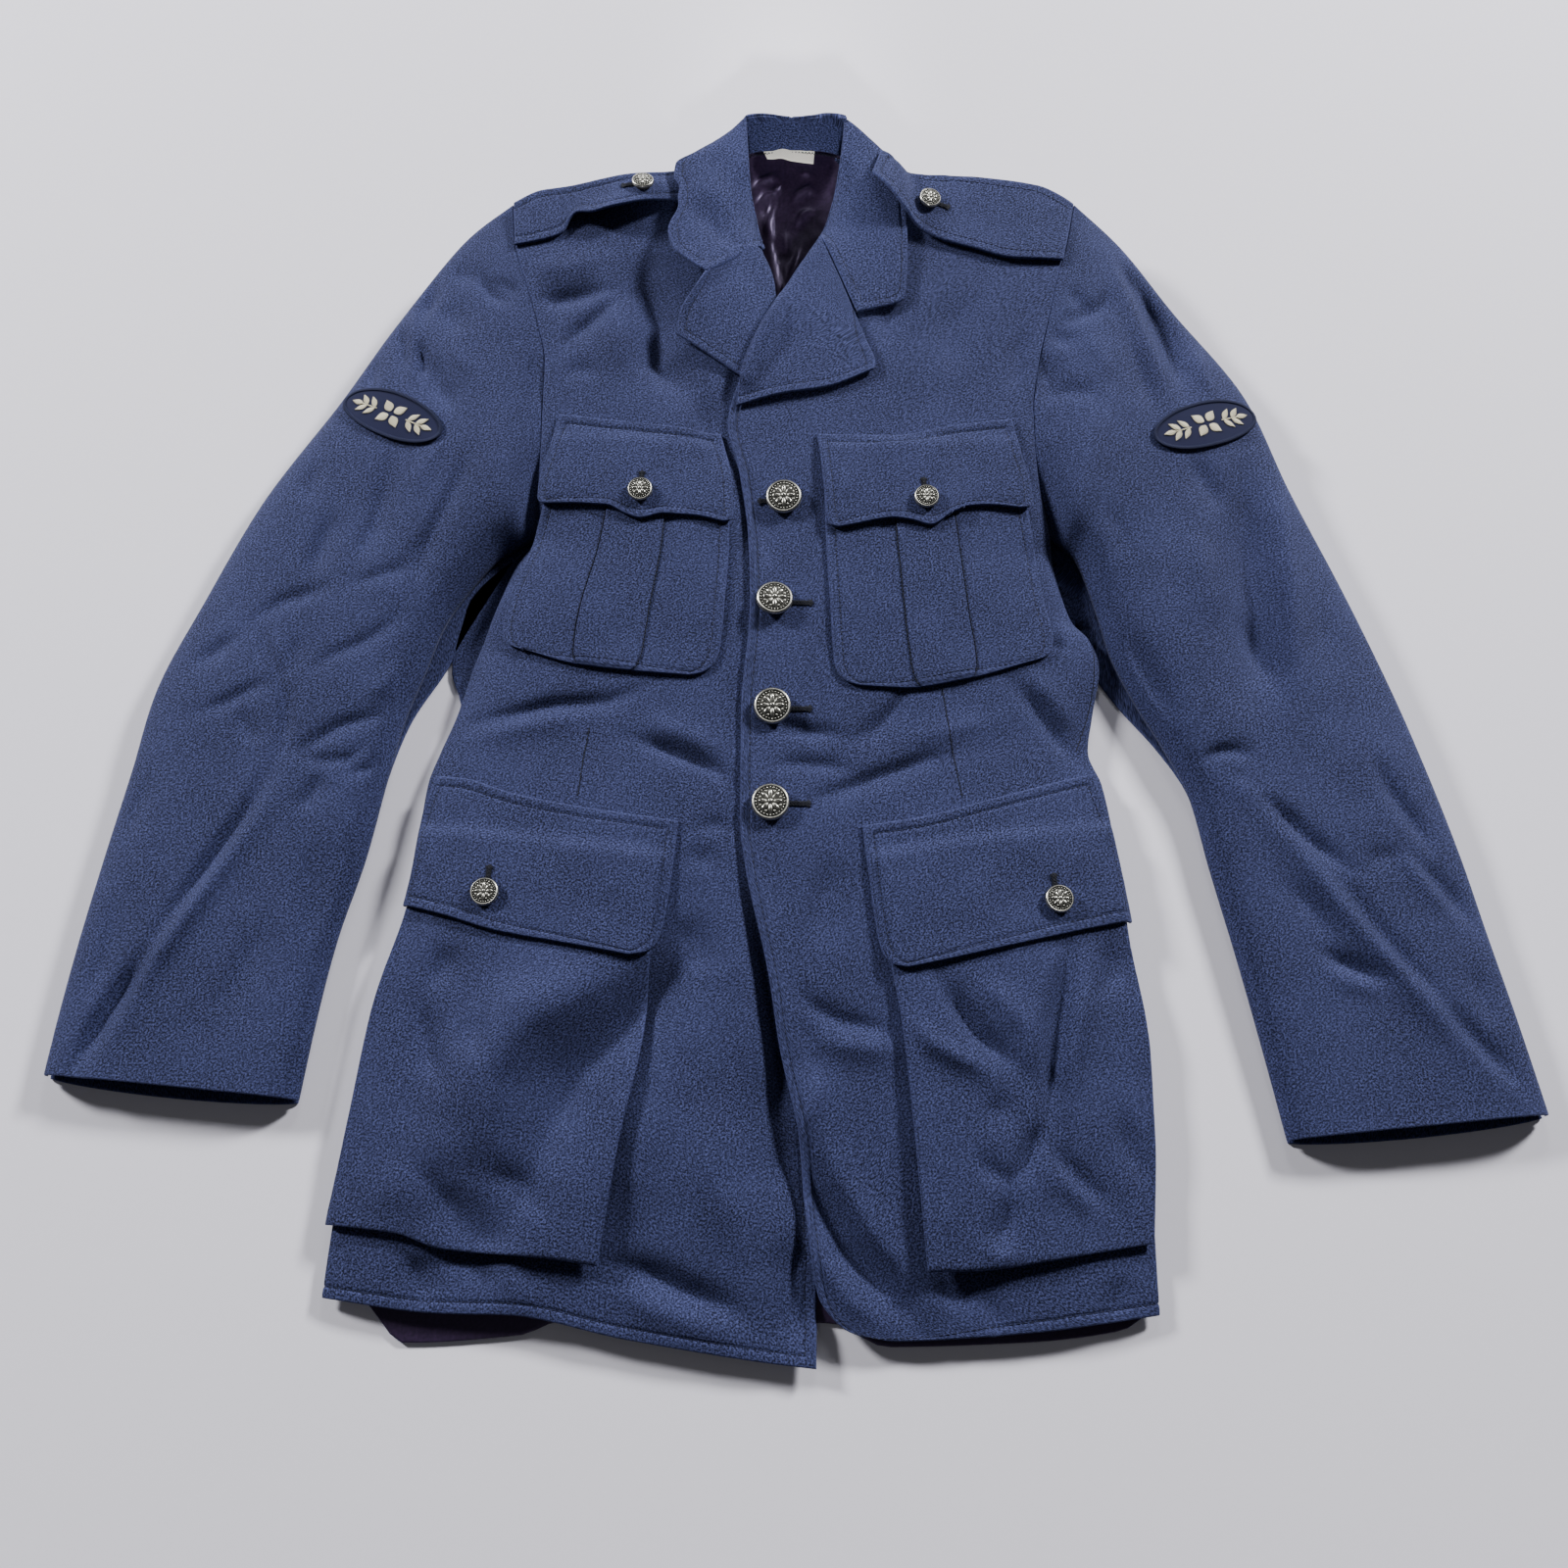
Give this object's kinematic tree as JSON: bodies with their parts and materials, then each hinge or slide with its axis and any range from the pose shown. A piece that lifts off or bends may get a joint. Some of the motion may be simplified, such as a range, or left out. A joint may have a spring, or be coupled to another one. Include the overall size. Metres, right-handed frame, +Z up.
{
  "type": "dress uniform jacket",
  "caption": "Tailored dress uniform jacket with notched collar, shoulder straps, chest and bellows pockets, buttoned and laid flat on its back.",
  "frame": {"origin": "on the surface that the jacket lies on, under the middle of its whole outline", "axes": "+X to the wearer's left across the chest, +Y from the hem to the collar, +Z up from the surface"},
  "size_m": [0.847, 0.7949, 0.0646],
  "materials": {
    "wool": "heathered blue wool twill, soft nap",
    "satin": "dark lining satin, soft shine",
    "cream": "woven ribbon, plain",
    "navy": "embroidered cloth",
    "pewter": "oxidised white metal, satin"
  },
  "bodies": {
    "root": {"back": "wool", "front_right": "wool", "front_left": "wool", "side_body_right": "wool", "side_body_left": "wool", "topsleeve_right": "wool", "topsleeve_left": "wool", "undersleeve_right": "wool", "undersleeve_left": "wool", "collar_stand": "wool", "collar_fall_right": "wool", "collar_fall_left": "wool", "lapel_right": "wool", "lapel_left": "wool", "shoulder_strap_right": "wool", "shoulder_strap_left": "wool", "chest_pocket_right": "wool", "chest_pocket_left": "wool", "chest_flap_right": "wool", "chest_flap_left": "wool", "lower_pocket_right": "wool", "lower_pocket_left": "wool", "lower_flap_right": "wool", "lower_flap_left": "wool", "neck_lining": "satin", "neck_label": "cream", "sleeve_badge_right": "navy", "sleeve_badge_left": "navy", "front_button_1": "pewter", "front_button_2": "pewter", "front_button_3": "pewter", "front_button_4": "pewter", "chest_button_right": "pewter", "chest_button_left": "pewter", "lower_button_right": "pewter", "lower_button_left": "pewter", "strap_button_right": "pewter", "strap_button_left": "pewter"}
  },
  "joints": []
}
